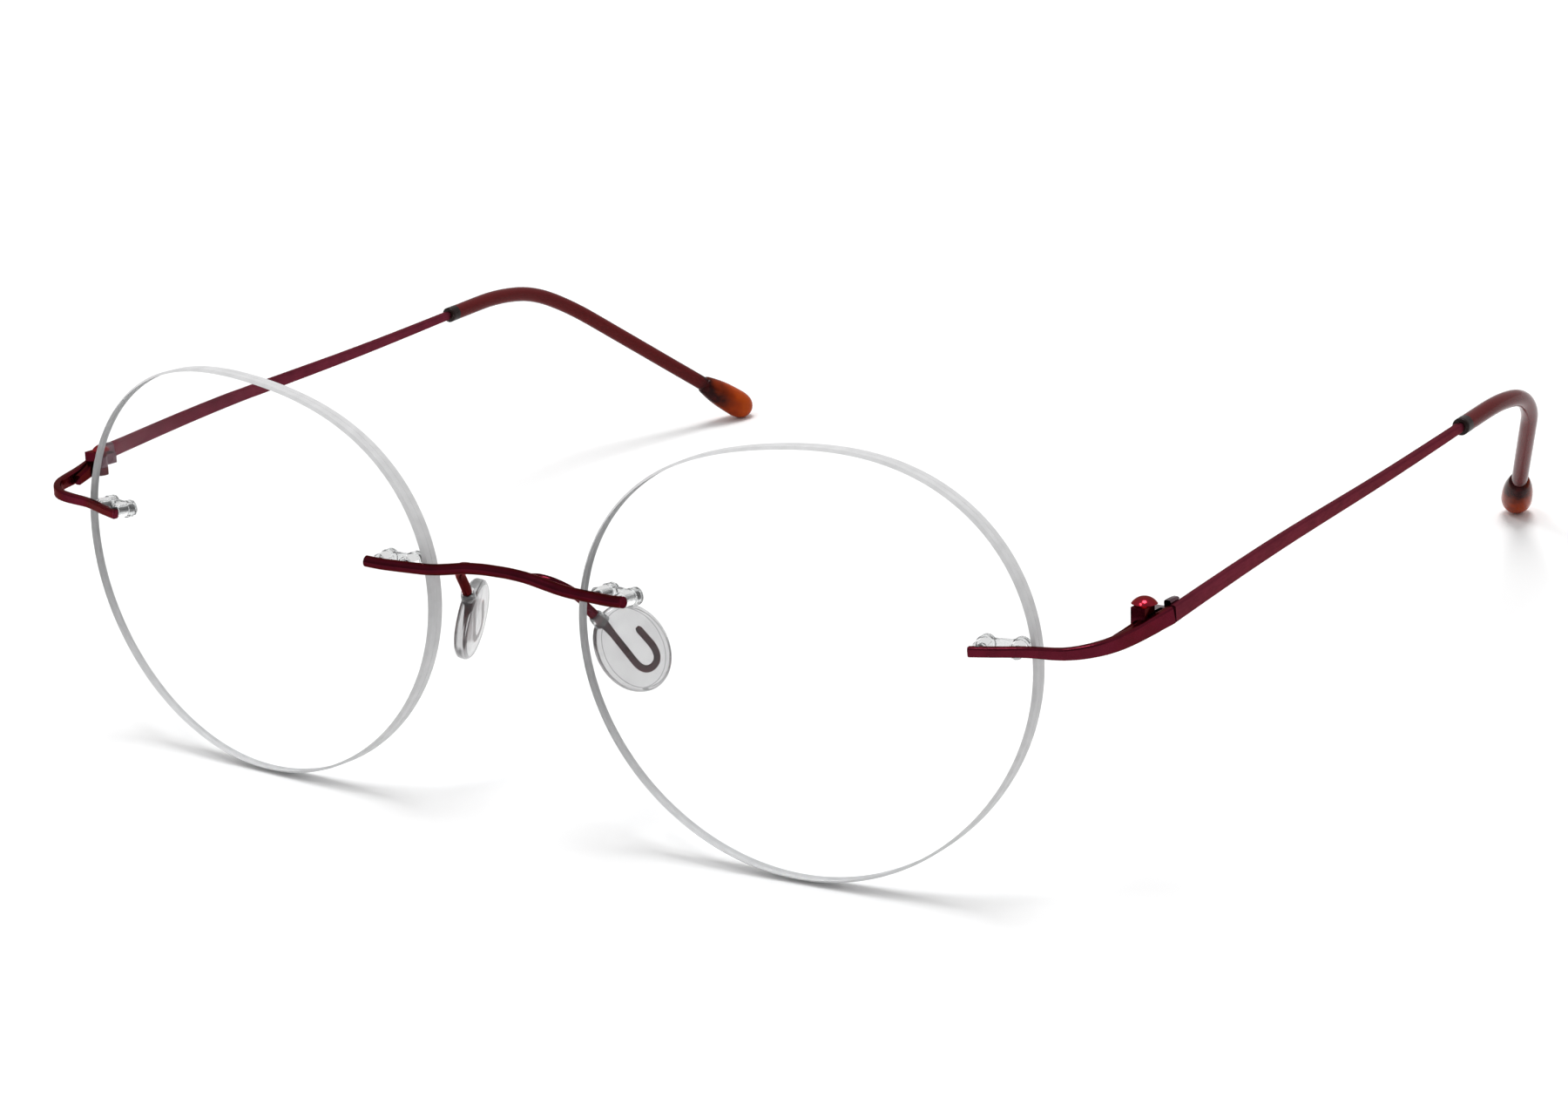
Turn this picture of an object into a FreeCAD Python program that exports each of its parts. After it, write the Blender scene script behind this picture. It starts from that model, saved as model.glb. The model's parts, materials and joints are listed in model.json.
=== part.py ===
import FreeCAD, Part

import math
import os

from FreeCAD import Matrix, Vector

# Rimless eyeglasses with open temples, resting on lens bottoms and temple tips. Millimetres.
# The left side is built first, as worn (+X). The right side is its mirror image.
# Everything is built in the front's own frame: X across the face, Y from the lenses back
# along the temples, Z up, with the lens centres at Z = 0. At the end the whole object is
# tipped back until the lens bottoms and the tips stand on Z = 0.

# Lenses
LENS_X = 37.25            # lens centre from the plane of symmetry
LENS_RADIUS = 25.0        # mean radius of the outline
LENS_OVAL = 0.0845        # two-lobed part of the outline, wider than high
LENS_OVAL_TURN = 8.0      # degrees
LENS_PANTO = 0.0233       # three-lobed part: full upper corners, narrower bottom
LENS_PANTO_TURN = 36.3    # degrees
LENS_CURVE = 124.0        # radius of the front surface
LENS_THICK = 2.1
LENS_BEVEL = 0.3
LENS_WRAP = 3.2           # degrees that each lens turns back at its outer side
OUTLINE_POINTS = 40

# Bridge and its mounts
BAR_RADIUS = 0.63
BAR_GAP = 0.05            # between a bar and the lens behind it
BRIDGE_MIDDLE_Y = -1.75
BRIDGE_ARCH = ((0.0, 5.02), (1.6, 5.02), (4.2, 4.85), (6.6, 4.4), (9.2, 4.0))   # X and Z
NASAL_U = -22.6           # middle of the nasal mount, across the lens
NASAL_W = 4.05            # and above its centre
NASAL_SPACING = 3.3       # between the two pins
TEMPORAL_U = 23.1
TEMPORAL_W = 4.15
TEMPORAL_SPACING = 3.6
PIN_RADIUS = 0.45
PIN_REACH = 0.95          # beyond the back of the lens
LEG_RADIUS = 0.85         # sleeve leg in the lens hole
FIT = 0.02                # radial clearance of legs, pins and screw
PLUG_THICK = 1.15
PLUG_RADIUS = 1.0
PLUG_WAIST = 1.25

# Endpiece, temple and tip: centre lines on the left side
BAR_DEPTH = 0.85
ENDPIECE_BEND = ((68.2, 1.5, 4.85), (70.3, 3.3, 5.15), (71.3, 6.3, 5.35), (72.1, 10.2, 5.85),
                 (72.95, 13.3, 6.5))
ENDPIECE_HEIGHTS = (1.05, 1.05, 1.1, 1.25, 1.45, 1.65, 1.8, 1.85)
TEMPLE_LINE = ((73.0, 13.45, 6.53), (73.4, 35.0, 8.7), (73.5, 58.0, 10.2), (73.6, 79.6, 11.9))
TEMPLE_HEIGHTS = (1.85, 1.65, 1.35, 1.05)
TEMPLE_DEPTHS = (0.75, 0.75, 0.85, 1.0)
HOOK_LINE = ((73.58, 76.0, 11.62), (73.6, 80.0, 11.93), (73.6, 90.5, 12.75), (73.2, 98.0, 12.0),
             (71.7, 104.6, 8.9), (62.0, 124.6, -5.85))
CORE_RADIUS = 0.5
TIP_START = 1             # the sleeve begins at this point of the hook line
TIP_RADIUS = 1.0
TIP_BORE = 0.54
BULB_START = -2.0         # along the tip, from the end of the hook line
BULB_LENGTH = 9.0
BULB_PROFILE = ((0.0, 1.2), (0.14, 1.5), (0.4, 1.85), (0.744, 1.95), (0.914, 1.45))
BULB_BORE = 2.2

# Nose pad and its arm
PAD_CENTRE = (11.3, 7.25, -4.0)
PAD_OUTWARD = (0.9, -0.38, 0.25)   # from the nose towards the lens
PAD_TURN = 30.0           # degrees that the pad's foot leans back
PAD_LENGTH = 10.2
PAD_WIDTH = 8.2
PAD_THICK = 1.7
PAD_BEVEL = 0.45
ARM_RADIUS = 0.55
ARM_CLEARANCE = 0.02
ARM_START = ((2.2, -0.85, 4.5), (4.0, -0.75, 4.65), (6.0, -0.5, 4.52), (7.7, 1.2, 3.2),
             (8.6, 3.3, 1.0))
ARM_IN_PAD = ((-4.1, -1.0), (1.95, -0.85), (3.0, -0.2), (3.05, 1.3), (1.75, 1.95),
              (-1.4, 1.7))   # along and across the pad

# Hinge
HINGE_X = 70.88
HINGE_Y = 11.55
HINGE_BOTTOM = 4.85
KNUCKLE_RADIUS = 0.98
LOWER_KNUCKLE = 0.9
MIDDLE_KNUCKLE = 1.25
UPPER_KNUCKLE = 0.75
KNUCKLE_GAP = 0.04
SCREW_RADIUS = 0.5
SCREW_HEAD_RADIUS = 1.33
SCREW_HEAD_HEIGHT = 0.72
LEAF_THICK = 0.8
FRONT_LEAF_LINE = ((70.45, 6.6, 5.15), (70.95, 8.6, 5.55), (71.4, 10.4, 5.95))
FRONT_LEAF_HEIGHTS = (1.2, 1.4, 1.75)
TEMPLE_LEAF_LINE = ((72.35, 13.6, 6.95), (72.4, 14.4, 7.05), (72.45, 15.2, 7.15))
TEMPLE_LEAF_HEIGHTS = (1.8, 1.8, 1.5)

os.makedirs("parts", exist_ok=True)


def unit(v):
    length = v.Length
    return Vector(v.x / length, v.y / length, v.z / length)


def turned(v, degrees):
    """Turn a vector about Z."""
    a = math.radians(degrees)
    return Vector(v.x * math.cos(a) - v.y * math.sin(a), v.x * math.sin(a) + v.y * math.cos(a), v.z)


def lens_radius(angle):
    oval = LENS_OVAL * math.cos(2 * (angle - math.radians(LENS_OVAL_TURN)))
    panto = LENS_PANTO * math.cos(3 * (angle - math.radians(LENS_PANTO_TURN)))
    return LENS_RADIUS * (1 + oval + panto)


# The outline's mean radius lies at Y = 0, so the front surface bulges forward of it.
LENS_BALL = Vector(0, math.sqrt(LENS_CURVE ** 2 - LENS_RADIUS ** 2), 0)


def on_lens(u, w, depth=0.0):
    """Point across u and above w on the front of the left lens, at a depth behind it."""
    front = Vector(u, LENS_BALL.y - math.sqrt(LENS_CURVE ** 2 - u * u - w * w), w)
    local = front + unit(LENS_BALL - front) * depth
    return turned(local, LENS_WRAP) + Vector(LENS_X, 0, 0)


def lens_inward(u, w):
    return unit(on_lens(u, w, 1.0) - on_lens(u, w))


def curve_through(points):
    spline = Part.BSplineCurve()
    spline.interpolate([Vector(p) for p in points])
    return spline


def bent_line(points):
    """Line with an arc at each inner point, as long as its two neighbours leave room for."""
    points = [Vector(p) for p in points]
    edges = []
    start = points[0]
    for before, corner, after in zip(points, points[1:], points[2:]):
        inward = unit(before - corner)
        outward = unit(after - corner)
        trim = 0.48 * min((before - corner).Length, (after - corner).Length)
        first = corner + inward * trim
        last = corner + outward * trim
        half_turn = (math.pi - inward.getAngle(outward)) / 2
        radius = trim / math.tan(half_turn)
        centre = corner + unit(inward + outward) * (radius / math.cos(half_turn))
        middle = centre + unit(corner - centre) * radius
        edges.append(Part.makeLine(start, first))
        edges.append(Part.Arc(first, middle, last).toShape())
        start = last
    edges.append(Part.makeLine(start, points[-1]))
    return Part.Wire(edges)


def round_rod(points, radius):
    """Round wire bent along a row of points."""
    points = [Vector(p) for p in points]
    rim = Part.Wire([Part.Circle(points[0], points[1] - points[0], radius).toShape()])
    return bent_line(points).makePipeShell([rim], True, True)


def rounded_rectangle(centre, side, up, depth, height, corner):
    """Wire of a rectangle with round corners, depth along side and height along up."""
    a = depth / 2
    b = height / 2
    bow = corner * (1 - math.sqrt(0.5))
    edges = []
    quarters = ((1, 1), (-1, 1), (-1, -1), (1, -1))
    for i, (sx, sy) in enumerate(quarters):
        flat_end = (sx * a, sy * (b - corner))
        top_end = (sx * (a - corner), sy * b)
        middle = (sx * (a - bow), sy * (b - bow))
        first, last = (flat_end, top_end) if i % 2 == 0 else (top_end, flat_end)
        points = [centre + side * x + up * y for x, y in (first, middle, last)]
        edges.append((points[0], Part.Arc(*points).toShape(), points[2]))
    wire = []
    for i in range(4):
        wire.append(edges[i][1])
        wire.append(Part.makeLine(edges[i][2], edges[(i + 1) % 4][0]))
    return Part.Wire(wire)


def flat_strip(points, depths, heights, sections):
    """Flat bar along a smooth line, its depth and height changing evenly between the points."""
    line = curve_through(points)
    knots = [line.parameter(Vector(p)) for p in points]
    first = line.FirstParameter
    span = line.LastParameter - first
    wires = []
    for i in range(sections):
        t = first + span * i / (sections - 1)
        k = max(j for j in range(len(knots) - 1) if knots[j] <= t + 1e-9)
        part = min((t - knots[k]) / (knots[k + 1] - knots[k]), 1.0)
        depth = depths[k] + (depths[k + 1] - depths[k]) * part
        height = heights[k] + (heights[k + 1] - heights[k]) * part
        along = line.tangent(t)[0]
        side = unit(along.cross(Vector(0, 0, 1)))
        up = unit(side.cross(along))
        wires.append(rounded_rectangle(line.value(t), side, up, depth, height, 0.25))
    return Part.makeLoft(wires, True, False)


def cylinder_between(start, end, radius):
    return Part.makeCylinder(radius, (end - start).Length, start, end - start)


def pin_places(u, w, spacing):
    return [(u - spacing / 2, w), (u + spacing / 2, w)]


MOUNTS = ((NASAL_U, NASAL_W, NASAL_SPACING), (TEMPORAL_U, TEMPORAL_W, TEMPORAL_SPACING))


def make_lens():
    """Outline cut from a shell between two spheres, both edges bevelled, four holes."""
    points = []
    for i in range(OUTLINE_POINTS):
        angle = 2 * math.pi * i / OUTLINE_POINTS
        r = lens_radius(angle)
        points.append(Vector(r * math.cos(angle), -10, r * math.sin(angle)))
    outline = Part.BSplineCurve()
    outline.interpolate(Points=points, PeriodicFlag=True)
    slab = Part.Face(Part.Wire([outline.toShape()])).extrude(Vector(0, 24, 0))
    lens = slab.common(Part.makeSphere(LENS_CURVE, LENS_BALL))
    lens = lens.cut(Part.makeSphere(LENS_CURVE - LENS_THICK, LENS_BALL)).Solids[0]
    rims = []
    for edge in lens.Edges:
        if edge.Length > LENS_RADIUS and edge.BoundBox.XLength > LENS_RADIUS:
            rims.append(edge)
    lens = lens.makeChamfer(LENS_BEVEL, rims)
    lens.rotate(Vector(0, 0, 0), Vector(0, 0, 1), LENS_WRAP)
    lens.translate(Vector(LENS_X, 0, 0))
    for mount in MOUNTS:
        for u, w in pin_places(*mount):
            hole = cylinder_between(on_lens(u, w, -2), on_lens(u, w, LENS_THICK + 2), LEG_RADIUS + FIT)
            lens = lens.cut(hole)
    return lens


def make_pins(mount, bar):
    """Two pins from the bar through the lens into the sleeve."""
    pins = []
    for u, w in pin_places(*mount):
        pin = cylinder_between(on_lens(u, w, -BAR_RADIUS), on_lens(u, w, LENS_THICK + PIN_REACH), PIN_RADIUS)
        pins.append(pin.cut(bar))
    return Part.makeCompound([pin.Solids[-1] for pin in pins])


def make_sleeve(mount):
    """Twin plug: two legs in the lens holes, joined by a waisted body behind the lens."""
    u, w, spacing = mount
    inward = lens_inward(u, w)
    across = unit(on_lens(u + 1, w) - on_lens(u - 1, w))
    up = unit(inward.cross(across))
    base = on_lens(u, w, LENS_THICK + BAR_GAP)
    body = None
    for u_pin, w_pin in pin_places(*mount):
        lobe_base = on_lens(u_pin, w_pin, LENS_THICK + BAR_GAP)
        lobe = cylinder_between(lobe_base, lobe_base + inward * PLUG_THICK, PLUG_RADIUS)
        rim = [e for e in lobe.Edges if (e.CenterOfMass - lobe_base).dot(inward) > PLUG_THICK - 0.01]
        lobe = lobe.makeFillet(0.35, rim)
        leg_tip = on_lens(u_pin, w_pin, 0.25)
        leg = cylinder_between(leg_tip, lobe_base + inward * 0.5, LEG_RADIUS)
        piece = lobe.fuse(leg)
        body = piece if body is None else body.fuse(piece)
    corner = base - across * (spacing / 2) - up * (PLUG_WAIST / 2)
    waist = Part.makeBox(spacing, PLUG_WAIST, PLUG_THICK - 0.3)
    waist.Placement = FreeCAD.Placement(Matrix(across.x, up.x, inward.x, corner.x,
                                               across.y, up.y, inward.y, corner.y,
                                               across.z, up.z, inward.z, corner.z,
                                               0, 0, 0, 1))
    body = body.fuse(waist).removeSplitter()
    for u_pin, w_pin in pin_places(*mount):
        bore = cylinder_between(on_lens(u_pin, w_pin, -1), on_lens(u_pin, w_pin, LENS_THICK + PIN_REACH + FIT),
                                PIN_RADIUS + FIT)
        body = body.cut(bore)
    return body


def make_bridge():
    """Round rod in front of both lenses, arched over the nose."""
    half = [Vector(x, BRIDGE_MIDDLE_Y, z) for x, z in BRIDGE_ARCH]
    front = -(BAR_RADIUS + BAR_GAP)
    for shift, rise in ((2.4, -0.1), (-1.0, -0.05), (-2.8, 0.1)):
        half.append(on_lens(NASAL_U - shift, NASAL_W + rise, front))
    rod = round_rod(half, BAR_RADIUS)
    return rod.fuse(rod.mirror(Vector(0, 0, 0), Vector(1, 0, 0))).removeSplitter()


def make_endpiece():
    """Flat bar along the lens front, then round the corner to the hinge."""
    front = -(BAR_DEPTH / 2 + BAR_GAP)
    points = [on_lens(TEMPORAL_U + s, TEMPORAL_W + 0.065 * s, front) for s in (-2.7, 0.4, 3.4)]
    points += [Vector(p) for p in ENDPIECE_BEND]
    return flat_strip(points, (BAR_DEPTH,) * len(points), ENDPIECE_HEIGHTS, 24)


def make_temple():
    """Flat strip from the hinge to the ear, with a round core that runs on into the tip."""
    strip = flat_strip(TEMPLE_LINE, TEMPLE_DEPTHS, TEMPLE_HEIGHTS, 14)
    return strip.fuse(round_rod(HOOK_LINE, CORE_RADIUS))


def hook_end():
    end = Vector(HOOK_LINE[-1])
    return end, unit(end - Vector(HOOK_LINE[-2]))


def make_tip(temple):
    """Sleeve over the core, ending in a swollen tip with a blind bore."""
    outside = round_rod(HOOK_LINE[TIP_START:], TIP_RADIUS)
    inside = round_rod(HOOK_LINE[TIP_START - 1:], TIP_BORE)
    end, along = hook_end()
    side = unit(along.cross(Vector(0, 0, 1)))
    origin = end + along * BULB_START
    profile = [origin + along * (s * BULB_LENGTH) + side * r for s, r in BULB_PROFILE]
    crown = origin + along * BULB_LENGTH
    swell = Part.BSplineCurve()
    swell.interpolate(Points=profile + [crown], InitialTangent=along, FinalTangent=side * -1)
    edges = [Part.makeLine(origin, profile[0]), swell.toShape(), Part.makeLine(crown, origin)]
    bulb = Part.Face(Part.Wire(edges)).revolve(origin, along, 360)
    tip = outside.fuse(bulb).cut(inside)
    bore = cylinder_between(end - along * 0.8, end + along * BULB_BORE, TIP_BORE)
    return tip.cut(bore)


def pad_axes():
    outward = unit(Vector(PAD_OUTWARD))
    level = unit(Vector(0, 0, 1).cross(outward))
    down = unit(outward.cross(level))
    if down.z > 0:
        down = down * -1
    a = math.radians(PAD_TURN)
    along = down * math.cos(a) + level * math.sin(a)
    return outward, along, outward.cross(along)


def arm_points():
    outward, along, across = pad_axes()
    in_pad = [Vector(PAD_CENTRE) + along * a + across * b for a, b in ARM_IN_PAD]
    return [Vector(p) for p in ARM_START] + in_pad


def make_pad_arm(bridge):
    """Wire along the back of the bridge, through the gap beside the lens, hooked into the pad."""
    return round_rod(arm_points(), ARM_RADIUS).cut(bridge).Solids[0]


def make_pad():
    """Oval pad, both rims bevelled, with the channel of its arm."""
    outward, along, across = pad_axes()
    base = Vector(PAD_CENTRE) - outward * (PAD_THICK / 2)
    oval = Part.Ellipse(base + along * (PAD_LENGTH / 2), base + across * (PAD_WIDTH / 2), base)
    disc = Part.Face(Part.Wire([oval.toShape()])).extrude(outward * PAD_THICK)
    rims = [e for e in disc.Edges if e.Length > PAD_LENGTH]
    disc = disc.makeFillet(PAD_BEVEL, rims)
    return disc.cut(round_rod(arm_points(), ARM_RADIUS + ARM_CLEARANCE))


def knuckle(bottom, height):
    return Part.makeCylinder(KNUCKLE_RADIUS, height, Vector(HINGE_X, HINGE_Y, bottom))


def hinge_levels():
    """Bottom of the lower knuckle, bottom of the middle one and top of the upper one."""
    lower = HINGE_BOTTOM
    middle = lower + LOWER_KNUCKLE + KNUCKLE_GAP
    return lower, middle, middle + MIDDLE_KNUCKLE + KNUCKLE_GAP + UPPER_KNUCKLE


def leaf(points, heights):
    return flat_strip(points, (LEAF_THICK,) * len(points), heights, 4)


def hinge_hole(radius):
    return Part.makeCylinder(radius, 8, Vector(HINGE_X, HINGE_Y, HINGE_BOTTOM - 2))


def make_front_leaf(endpiece):
    """Plate inside the endpiece with the lower and upper knuckles."""
    lower, middle, top = hinge_levels()
    body = leaf(FRONT_LEAF_LINE, FRONT_LEAF_HEIGHTS)
    arm = Part.makeBox(1.6, 2.0, top - lower, Vector(70.4, 9.6, lower))
    body = body.fuse(arm).fuse(knuckle(lower, top - lower))
    slot = Part.makeBox(5, 3.4, MIDDLE_KNUCKLE + 2 * KNUCKLE_GAP, Vector(68.5, 10.1, middle - KNUCKLE_GAP))
    body = body.cut(slot).cut(hinge_hole(SCREW_RADIUS + FIT)).cut(endpiece)
    return max(body.Solids, key=lambda solid: solid.Volume)


def make_temple_leaf(temple):
    """Plate inside the temple with the middle knuckle."""
    middle = hinge_levels()[1]
    body = leaf(TEMPLE_LEAF_LINE, TEMPLE_LEAF_HEIGHTS)
    neck = Part.makeBox(1.7, 2.6, MIDDLE_KNUCKLE, Vector(70.7, HINGE_Y, middle))
    keep_off = Part.makeBox(4, 3, 4, Vector(71.65, 10.4, 4))
    body = body.fuse(neck.cut(keep_off)).fuse(knuckle(middle, MIDDLE_KNUCKLE))
    body = body.cut(hinge_hole(SCREW_RADIUS + FIT)).cut(temple)
    return max(body.Solids, key=lambda solid: solid.Volume)


def make_screw():
    """Domed head above the upper knuckle, shank down through all three."""
    lower, middle, top = hinge_levels()
    axis = Vector(HINGE_X, HINGE_Y, 0)
    shank = Part.makeCylinder(SCREW_RADIUS, top - lower, axis + Vector(0, 0, lower))
    ball = (SCREW_HEAD_RADIUS ** 2 + SCREW_HEAD_HEIGHT ** 2) / (2 * SCREW_HEAD_HEIGHT)
    dome = Part.makeSphere(ball, axis + Vector(0, 0, top + SCREW_HEAD_HEIGHT - ball))
    head = dome.common(Part.makeCylinder(SCREW_HEAD_RADIUS, 2, axis + Vector(0, 0, top)))
    return shank.fuse(head).removeSplitter()


def make_left_side():
    bridge = make_bridge()
    endpiece = make_endpiece()
    temple = make_temple()
    return {
        "lens": make_lens(),
        "bridge_pins": make_pins(MOUNTS[0], bridge),
        "nasal_sleeve": make_sleeve(MOUNTS[0]),
        "pad_arm": make_pad_arm(bridge),
        "nose_pad": make_pad(),
        "endpiece": endpiece,
        "endpiece_pins": make_pins(MOUNTS[1], endpiece),
        "temporal_sleeve": make_sleeve(MOUNTS[1]),
        "hinge_front_leaf": make_front_leaf(endpiece),
        "hinge_temple_leaf": make_temple_leaf(temple),
        "hinge_screw": make_screw(),
        "temple": temple,
        "temple_tip": make_tip(temple),
    }, bridge


def standing(shapes):
    """Tip everything back until the lens bottoms and the tips both touch the floor."""
    lens_bottom = shapes["lens"].BoundBox.ZMin
    tilt = 0.0
    for step in range(6):
        lens = shapes["lens"].copy()
        tip = shapes["temple_tip"].copy()
        for shape in (lens, tip):
            shape.rotate(Vector(0, 0, lens_bottom), Vector(1, 0, 0), -tilt)
        rise = tip.BoundBox.ZMin - lens.BoundBox.ZMin
        run = tip.BoundBox.YMax - lens.BoundBox.YMin
        tilt += math.degrees(math.atan2(rise, run))
    return tilt


def rest(shape, tilt, shift):
    placed = shape.copy()
    placed.rotate(Vector(0, 0, 0), Vector(1, 0, 0), -tilt)
    placed.translate(shift)
    return placed


left, bridge = make_left_side()
tilt = standing(left)
tipped = [rest(shape, tilt, Vector(0, 0, 0)).BoundBox for shape in left.values()]
low = min(box.ZMin for box in tipped)
front = min(box.YMin for box in tipped)
back = max(box.YMax for box in tipped)
shift = Vector(0, -(front + back) / 2, -low)

rest(bridge, tilt, shift).exportStep("parts/bridge_bar.step")
for name, shape in left.items():
    right = shape.mirror(Vector(0, 0, 0), Vector(1, 0, 0))
    rest(shape, tilt, shift).exportStep("parts/" + name + "_left.step")
    rest(right, tilt, shift).exportStep("parts/" + name + "_right.step")

print("tilt", round(tilt, 3), "shift", round(shift.y, 3), round(shift.z, 3))
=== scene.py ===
"""Rimless eyeglasses on a white floor, with their finer pieces as meshes over the CAD frame."""

import json
import math

import bmesh
import bpy
import numpy as np
from mathutils import Matrix, Vector


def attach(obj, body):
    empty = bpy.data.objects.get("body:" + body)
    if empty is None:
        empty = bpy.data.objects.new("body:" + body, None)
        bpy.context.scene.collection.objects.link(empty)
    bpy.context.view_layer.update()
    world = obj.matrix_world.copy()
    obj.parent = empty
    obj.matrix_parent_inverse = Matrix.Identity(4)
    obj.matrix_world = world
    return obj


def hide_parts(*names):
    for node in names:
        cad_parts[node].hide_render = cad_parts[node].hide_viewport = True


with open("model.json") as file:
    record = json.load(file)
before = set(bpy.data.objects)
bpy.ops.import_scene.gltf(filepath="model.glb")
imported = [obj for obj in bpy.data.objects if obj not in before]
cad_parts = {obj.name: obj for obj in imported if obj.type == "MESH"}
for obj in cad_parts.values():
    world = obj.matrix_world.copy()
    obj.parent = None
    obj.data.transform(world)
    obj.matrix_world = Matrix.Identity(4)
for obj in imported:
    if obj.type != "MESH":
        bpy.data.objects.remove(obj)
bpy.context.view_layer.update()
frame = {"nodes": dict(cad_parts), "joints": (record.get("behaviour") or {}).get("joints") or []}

# ---- The front's own frame, in millimetres: X across the face, Y back, Z up, lens centres at Z = 0
MM = 0.001
HINGE = Vector((70.88, 11.55, 6.0))      # on the left hinge's axis

# Lenses
LENS_X = 37.25
LENS_RADIUS = 25.0
LENS_OVAL = 0.0845
LENS_OVAL_TURN = math.radians(8.0)
LENS_PANTO = 0.0233
LENS_PANTO_TURN = math.radians(36.3)
LENS_CURVE = 124.0
LENS_THICK = 2.1
LENS_BEVEL = 0.3
LENS_WRAP = math.radians(3.2)
LENS_TURNS = 240                         # points round the outline
LENS_RINGS = 14                          # rings from the middle to the bevel
EDGE_GROOVE = 0.05                       # shallow line where the two ground facets meet
GROOVE_HALF_WIDTH = 0.09
MOUNT_HOLES = ((-22.6, 4.05, 3.3), (23.1, 4.15, 3.6))   # across, up, spacing of each pair
HOLE_RADIUS = 0.87
HOLE_TURNS = 32
DRILL_FROM = -2.0                        # along the hole, from the lens's front face
DRILL_TO = 4.5
LENS_CREASE = math.radians(20.0)         # edges that bend more than this are sharp

# Temples and tips
TEMPLE_LINE = ((73.0, 13.45, 6.53), (73.4, 35.0, 8.7), (73.5, 58.0, 10.2), (73.6, 79.6, 11.9))
TEMPLE_HEIGHTS = (1.85, 1.65, 1.35, 1.05)
TEMPLE_DEPTHS = (0.75, 0.75, 0.85, 1.0)
TEMPLE_CORNER = 0.25
TEMPLE_CORNER_STEPS = 4
TEMPLE_SECTIONS = 90
TEMPLE_CREASE = math.radians(40.0)
HOOK_LINE = ((73.6, 80.0, 11.93), (73.6, 90.5, 12.75), (73.2, 98.0, 12.0), (71.7, 104.6, 8.9),
             (62.0, 124.6, -5.85))
HOOK_STEP = 0.5                          # between sections of the hook
HOOK_EASING = 3                          # passes
CORE_RADIUS = 0.5
TIP_RADIUS = 1.0
TIP_BORE = 0.54
TIP_TURNS = 32
TIP_CREASE = math.radians(50.0)
BULB_START = -2.0                        # along the tip, from the end of the hook line
BULB_LENGTH = 9.0
BULB_GAP = 0.2                           # between the tube's last section and the bulb's first
BULB_PROFILE = ((0.0, 1.0), (0.01, 1.2), (0.06, 1.34), (0.14, 1.5), (0.26, 1.7), (0.4, 1.85),
                (0.57, 1.93), (0.72, 1.95), (0.8, 1.87), (0.87, 1.7), (0.925, 1.4), (0.965, 1.0),
                (0.99, 0.5))                 # share of the length, radius
RING_LENGTH = 1.1                        # dark collar at the open end of the sleeve
BULB_BORE = 2.2                          # how far the bore goes past the end of the hook line
LIP_INSET = 0.08                         # rounding at the sleeve's open end
LIP_LENGTH = 0.15                        # of that, as a share of the tube's first step
TINT_START = 10                          # the tip's colours start this far in front of the end of
TINT_END = 5                             # the hook line and stop this far behind it
TINT_MOTTLE = 0.3

# Nose pads
PAD_CENTRE = Vector((11.3, 7.25, -4.0))
PAD_OUTWARD = Vector((0.9, -0.38, 0.25))
PAD_TURN = math.radians(30.0)
PAD_LENGTH = 10.2
PAD_WIDTH = 8.2
PAD_THICK = 1.7
PAD_CROWN = 0.12                         # how far each face bulges
PAD_ROUND = 0.5                          # radius of the rims
PAD_ROUND_STEPS = 6
PAD_FACE_RINGS = (0.15, 0.35, 0.55, 0.75, 0.9)   # from the middle, as shares of the half width
PAD_RING_POINTS = 72
PAD_CREASE = math.radians(60.0)

# Pad arms
ARM_LINE = ((2.2, -0.85, 4.5), (4.0, -0.75, 4.65), (6.0, -0.5, 4.52), (7.7, 1.2, 3.2),
            (8.6, 3.3, 1.0))
ARM_IN_PAD = ((-4.1, -1.0), (1.95, -0.85), (3.0, -0.2), (3.05, 1.3), (1.75, 1.95),
              (-1.4, 1.7))               # along and across the pad, from its centre
ARM_RADIUS = 0.55
ARM_START_RADIUS = 0.3                   # where it dies away into the bridge
ARM_TAPER = 2.5                          # length of that
ARM_FOOT_RADIUS = 0.4                    # inside the pad
ARM_FOOT_START = -0.5                    # where it narrows to that, from the pad's entry
ARM_FOOT_END = 1.5
ARM_END_TAPER = 0.3                      # length
ARM_END_SHARE = 0.6                      # of the foot's radius
ARM_STEP = 0.2                           # between sections of the wire
ARM_EASING = 4                           # passes
ARM_TURNS = 24
ARM_CREASE = math.radians(50.0)
COLLAR_TURNS = 40
COLLAR_CREASE = math.radians(40.0)
COLLAR_PROFILE = ((0.2, 0.86), (0.7, 0.85), (1.2, 0.8), (1.5, 0.72), (1.6, 0.64), (1.6, 0.56),
                  (0.2, 0.56))           # distance from the pad's entry, radius

BEND_SHARE = 0.48                        # of the shorter run beside a corner, taken up by its arc

# Materials
NOISE_LOW = 0.3                          # noise seldom leaves this range
NOISE_HIGH = 0.7
PLATING_SHEEN = (0.5, 0.1, 0.15, 1)
CLEAR_SHADOW = (0.9, 0.91, 0.92, 1)      # light left after a clear piece

# Camera, in the model's metres
CAMERA_PLACE = Vector((0.23524, -0.33751, 0.15616))
CAMERA_RIGHT = Vector((0.825336, 0.558130, -0.085502))
CAMERA_AHEAD = Vector((-0.551436, 0.764180, -0.334587))
CAMERA_LENS = 82.41

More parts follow.
